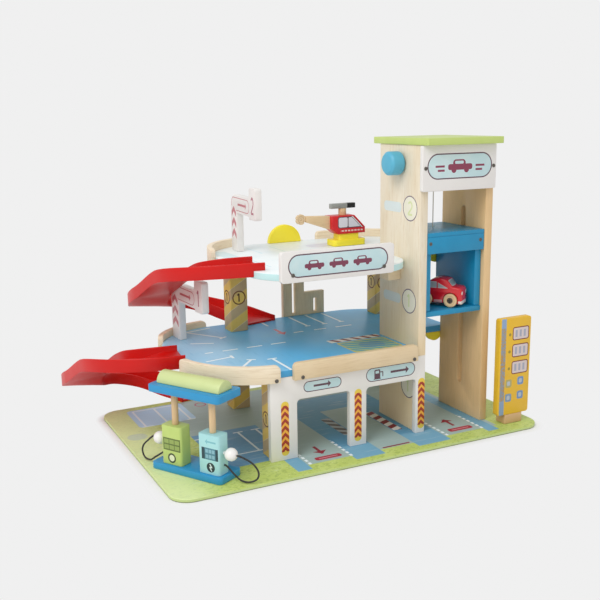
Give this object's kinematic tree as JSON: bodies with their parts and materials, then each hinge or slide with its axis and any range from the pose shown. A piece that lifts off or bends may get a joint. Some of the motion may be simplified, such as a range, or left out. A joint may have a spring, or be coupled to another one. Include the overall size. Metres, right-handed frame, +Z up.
{
  "type": "toy parking garage with lift",
  "caption": "Wooden toy parking garage on a base board: two railed decks, a tower with a hand-wound lift, spiral ramps, a pump station, a price board, a toy car and a helicopter.",
  "frame": {"origin": "centre of the base board's underside", "axes": "+X to the right along the front, +Y towards the back, +Z up"},
  "size_m": [0.6611, 0.4874, 0.4472],
  "materials": {
    "natural_wood": "clear varnish",
    "grass_board": "painted and printed",
    "blue_deck": "painted and printed",
    "pale_deck": "painted and printed",
    "white_board": "painted and printed",
    "lime_board": "painted",
    "yellow_board": "painted",
    "lift_blue": "painted",
    "knob_blue": "painted",
    "ramp_red": "glossy moulding",
    "string": "twisted thread",
    "car_red": "gloss paint",
    "black_rubber": "satin",
    "station_blue": "painted",
    "pump_green": "painted",
    "pump_turquoise": "painted",
    "totem_yellow": "painted and printed",
    "heli_red": "painted",
    "grey_paint": "painted"
  },
  "bodies": {
    "garage": {"base_board": "grass_board", "level_1_deck": "blue_deck", "level_2_deck": "pale_deck", "facade": "white_board", "tower_left_panel": "natural_wood", "tower_right_panel": "natural_wood", "tower_roof": "lime_board", "tower_sign_board": "white_board", "level_1_front_left_rail": "natural_wood", "level_1_rear_left_rail": "natural_wood", "level_2_left_rail": "natural_wood", "level_2_rear_rail": "natural_wood", "level_1_front_right_rail": "natural_wood", "ground_front_column": "natural_wood", "ground_left_column": "natural_wood", "ground_right_column": "natural_wood", "level_1_left_column": "natural_wood", "level_1_right_column": "natural_wood", "rear_support_panel": "natural_wood", "deck_support_cleat": "natural_wood", "level_2_sign_board": "white_board", "rear_marker_disc": "yellow_board", "level_1_landing_tab": "yellow_board", "level_2_landing_tab": "yellow_board", "level_1_sign": "white_board", "level_2_sign": "white_board", "upper_ramp": "ramp_red", "lower_ramp": "ramp_red", "lift_string": "string"},
    "lift_car": {"lift_floor": "lift_blue", "lift_left_side": "lift_blue", "lift_right_side": "lift_blue", "lift_roof": "lift_blue", "lift_front_frame": "lift_blue", "left_guide_peg": "natural_wood", "right_guide_peg": "natural_wood"},
    "winder": {"winding_knob": "knob_blue", "winding_shaft": "natural_wood"},
    "toy_car": {"car_body": "car_red"},
    "car_front_wheels": {"car_front_wheel_set": "natural_wood"},
    "car_rear_wheels": {"car_rear_wheel_set": "natural_wood"},
    "pump_station": {"station_base": "station_blue", "green_pump": "pump_green", "green_pump_post": "natural_wood", "green_pump_nozzle": "white_board", "green_pump_hose": "black_rubber", "turquoise_pump": "pump_turquoise", "turquoise_pump_post": "natural_wood", "turquoise_pump_nozzle": "white_board", "turquoise_pump_hose": "black_rubber", "station_canopy": "station_blue", "station_canopy_hump": "lime_board"},
    "price_board": {"totem_foot": "natural_wood", "totem_board": "totem_yellow"},
    "helicopter": {"helicopter_pontoon": "yellow_board", "helicopter_cabin": "heli_red", "helicopter_boom": "natural_wood", "helicopter_mast": "natural_wood"},
    "helicopter_main_rotor": {"main_rotor": "grey_paint"},
    "helicopter_tail_rotor": {"tail_rotor": "natural_wood"}
  },
  "joints": [
    {"name": "lift_slide", "type": "slide", "parent": "garage", "child": "lift_car", "axis": [0, 0, 1], "range_m": [-0.1773, 0.0784], "deforming": ["lift_string"]},
    {"name": "knob_turn", "type": "hinge", "parent": "garage", "child": "winder", "pos_m": [0.18, -0.0804, 0.41], "axis": [1, 0, 0], "range_deg": [-1442, 638]},
    {"name": "car_out_of_lift", "type": "slide", "parent": "lift_car", "child": "toy_car", "axis": [0, -1, 0], "range_m": [0, 0.12]},
    {"name": "car_front_wheels_turn", "type": "hinge", "parent": "toy_car", "child": "car_front_wheels", "pos_m": [0.18383, -0.11038, 0.2018], "axis": [0.7986, 0.6018, 0], "continuous": true},
    {"name": "car_rear_wheels_turn", "type": "hinge", "parent": "toy_car", "child": "car_rear_wheels", "pos_m": [0.16036, -0.07923, 0.2018], "axis": [0.7986, 0.6018, 0], "continuous": true},
    {"name": "pump_station_lift_off", "type": "slide", "parent": "garage", "child": "pump_station", "axis": [0, 0, 1], "range_m": [0, 0.1]},
    {"name": "price_board_lift_off", "type": "slide", "parent": "garage", "child": "price_board", "axis": [0, 0, 1], "range_m": [0, 0.1]},
    {"name": "helicopter_take_off", "type": "slide", "parent": "garage", "child": "helicopter", "axis": [0, 0, 1], "range_m": [0, 0.1]},
    {"name": "main_rotor_spin", "type": "hinge", "parent": "helicopter", "child": "helicopter_main_rotor", "pos_m": [0.09244, 0.074, 0.335], "axis": [0, 0, 1], "continuous": true},
    {"name": "tail_rotor_spin", "type": "hinge", "parent": "helicopter", "child": "helicopter_tail_rotor", "pos_m": [0.01507, 0.074, 0.3164], "axis": [0, 1, 0], "continuous": true}
  ],
  "couplings": [
    {"joint": "knob_turn", "follows": "lift_slide", "rad_per_m": 141.84}
  ]
}
